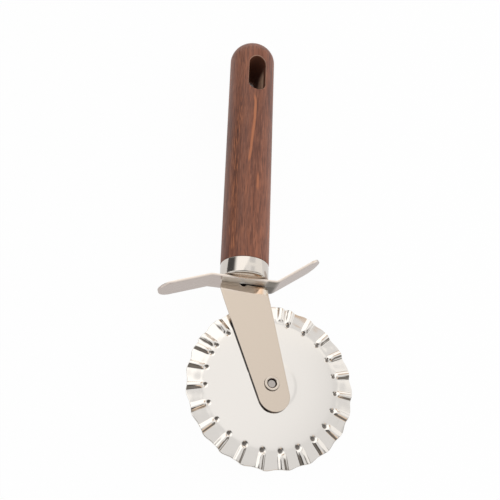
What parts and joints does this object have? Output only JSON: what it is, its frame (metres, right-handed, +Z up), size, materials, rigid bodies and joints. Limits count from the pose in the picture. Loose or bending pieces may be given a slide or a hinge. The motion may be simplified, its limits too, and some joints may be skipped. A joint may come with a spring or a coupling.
{
  "type": "pastry wheel",
  "caption": "Hand tool with a crimped steel wheel that spins behind a slanted bent bracket plate, below a bent finger guard, a steel ferrule and a round wooden handle with a hanging slot.",
  "frame": {"origin": "on the table, under the middle of the tool's box as it lies on its side", "axes": "+Y along the handle towards its domed end, +Z up from the table, +X towards the guard's raised wing; the tool is rolled 9.2 degrees about Y so that the handle and the raised wing touch the table"},
  "size_m": [0.0778, 0.1922, 0.0201],
  "materials": {
    "handle_wood": "oiled dark hardwood with long grain",
    "ferrule_steel": "polished drawn stainless steel",
    "guard_steel": "lightly brushed stainless steel",
    "bracket_steel": "satin warm stainless steel",
    "wheel_steel": "polished stainless steel",
    "rivet_steel": "bright rolled steel",
    "inner_steel": "plain turned steel"
  },
  "bodies": {
    "tool_frame": {"handle": "handle_wood", "ferrule": "ferrule_steel", "tang": "inner_steel", "finger_guard": "guard_steel", "bracket": "bracket_steel", "axle_rivet": "rivet_steel", "axle_sleeve": "inner_steel", "rear_washer": "inner_steel"},
    "wheel": {"crimped_wheel": "wheel_steel"}
  },
  "joints": [
    {"name": "wheel_spin", "type": "hinge", "parent": "tool_frame", "child": "wheel", "pos_m": [0.00663, -0.06338, 0.00996], "axis": [0.1605, 0, 0.987], "continuous": true}
  ]
}
